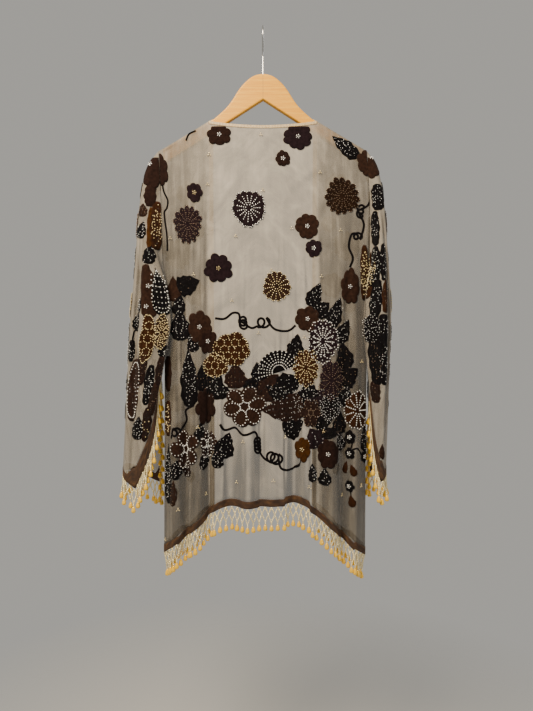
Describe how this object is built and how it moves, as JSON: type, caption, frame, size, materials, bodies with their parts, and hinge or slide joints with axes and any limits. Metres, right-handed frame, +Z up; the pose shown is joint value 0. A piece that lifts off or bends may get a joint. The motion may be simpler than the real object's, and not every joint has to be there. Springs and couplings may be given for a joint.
{
  "type": "short open-front jacket on a wooden hanger",
  "caption": "Short sheer open-front jacket with velvet borders and beaded fringe at hem and cuffs, hung by the hook of its wooden hanger.",
  "frame": {"origin": "inside top of the hook's bend, where it bears on a rail", "axes": "+Z up, -Y out of the jacket's back, +X to the wearer's right"},
  "size_m": [0.5355, 0.1097, 1.1062],
  "materials": {
    "hanger_wood": "clear varnish",
    "hook_steel": "bright plated wire",
    "sheer_cloth": "sheer georgette with burn-out velvet",
    "velvet_border": "velvet",
    "bead_fringe": "glass beads and drops"
  },
  "bodies": {
    "root": {"hanger": "hanger_wood", "hanger_hook": "hook_steel", "back_panel": "sheer_cloth", "front_panel_left": "sheer_cloth", "front_panel_right": "sheer_cloth", "sleeve_left": "sheer_cloth", "sleeve_right": "sheer_cloth", "neck_binding": "sheer_cloth", "front_binding_left": "sheer_cloth", "front_binding_right": "sheer_cloth", "hem_border_back": "velvet_border", "hem_border_front_left": "velvet_border", "hem_border_front_right": "velvet_border", "cuff_border_left": "velvet_border", "cuff_border_right": "velvet_border", "fringe_back": "bead_fringe", "fringe_front_left": "bead_fringe", "fringe_front_right": "bead_fringe", "fringe_cuff_left": "bead_fringe", "fringe_cuff_right": "bead_fringe"}
  },
  "joints": []
}
